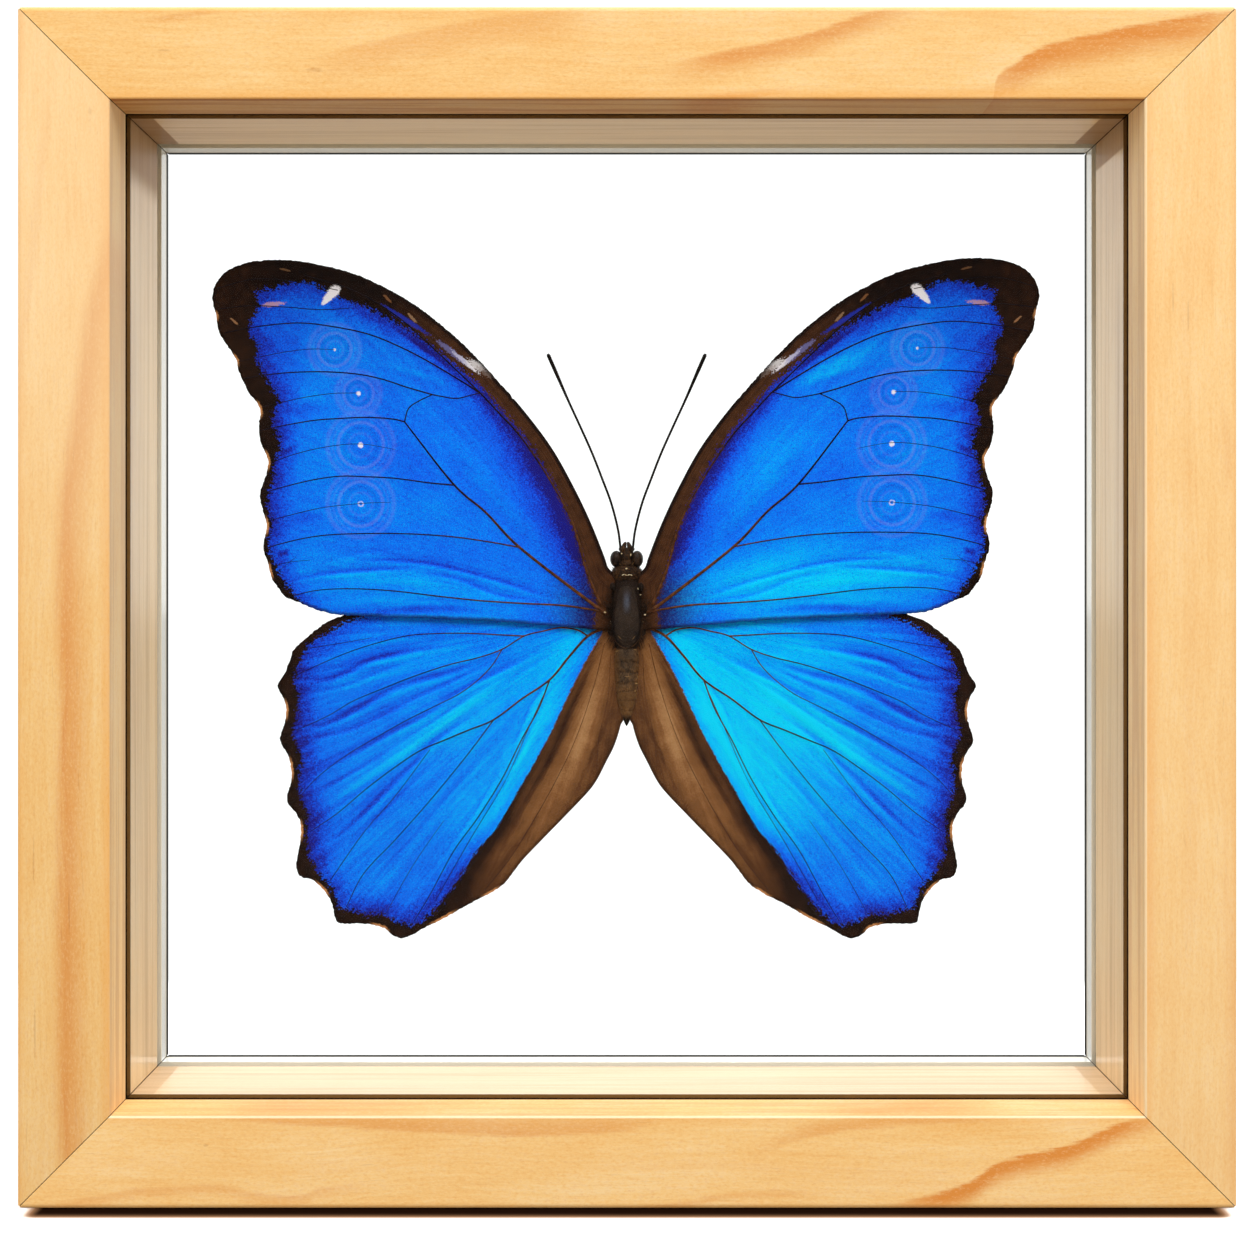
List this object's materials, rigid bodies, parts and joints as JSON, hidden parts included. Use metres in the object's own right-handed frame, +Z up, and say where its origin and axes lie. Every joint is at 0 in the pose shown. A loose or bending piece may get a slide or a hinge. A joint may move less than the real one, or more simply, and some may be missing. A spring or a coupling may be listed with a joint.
{
  "type": "framed butterfly specimen",
  "caption": "Blue morpho butterfly held between two panes of glass in a square, mitred pine frame that stands on its bottom edge.",
  "frame": {"origin": "centre of the frame's bottom face, which it stands on", "axes": "+Z up, -Y towards the viewer (the front of the frame), +X to the viewer's right"},
  "size_m": [0.203, 0.038, 0.2],
  "materials": {
    "pine": "satin varnish",
    "clear_glass": "polished",
    "insect_body": "matt, finely hairy",
    "blue_wing": "metallic scales on a thin membrane",
    "antenna": "matt",
    "clear_adhesive": "clear"
  },
  "bodies": {
    "root": {"rail_bottom": "pine", "rail_top": "pine", "rail_left": "pine", "rail_right": "pine", "spacer_bottom": "pine", "spacer_top": "pine", "spacer_left": "pine", "spacer_right": "pine", "rear_strip_bottom": "pine", "rear_strip_top": "pine", "rear_strip_left": "pine", "rear_strip_right": "pine", "front_glass": "clear_glass", "back_glass": "clear_glass", "butterfly_body": "insect_body", "forewing_left": "blue_wing", "forewing_right": "blue_wing", "hindwing_left": "blue_wing", "hindwing_right": "blue_wing", "antenna_left": "antenna", "antenna_right": "antenna", "mid_leg_left": "insect_body", "mid_leg_right": "insect_body", "hind_leg_left": "insect_body", "hind_leg_right": "insect_body", "adhesive_dot": "clear_adhesive"}
  },
  "joints": []
}
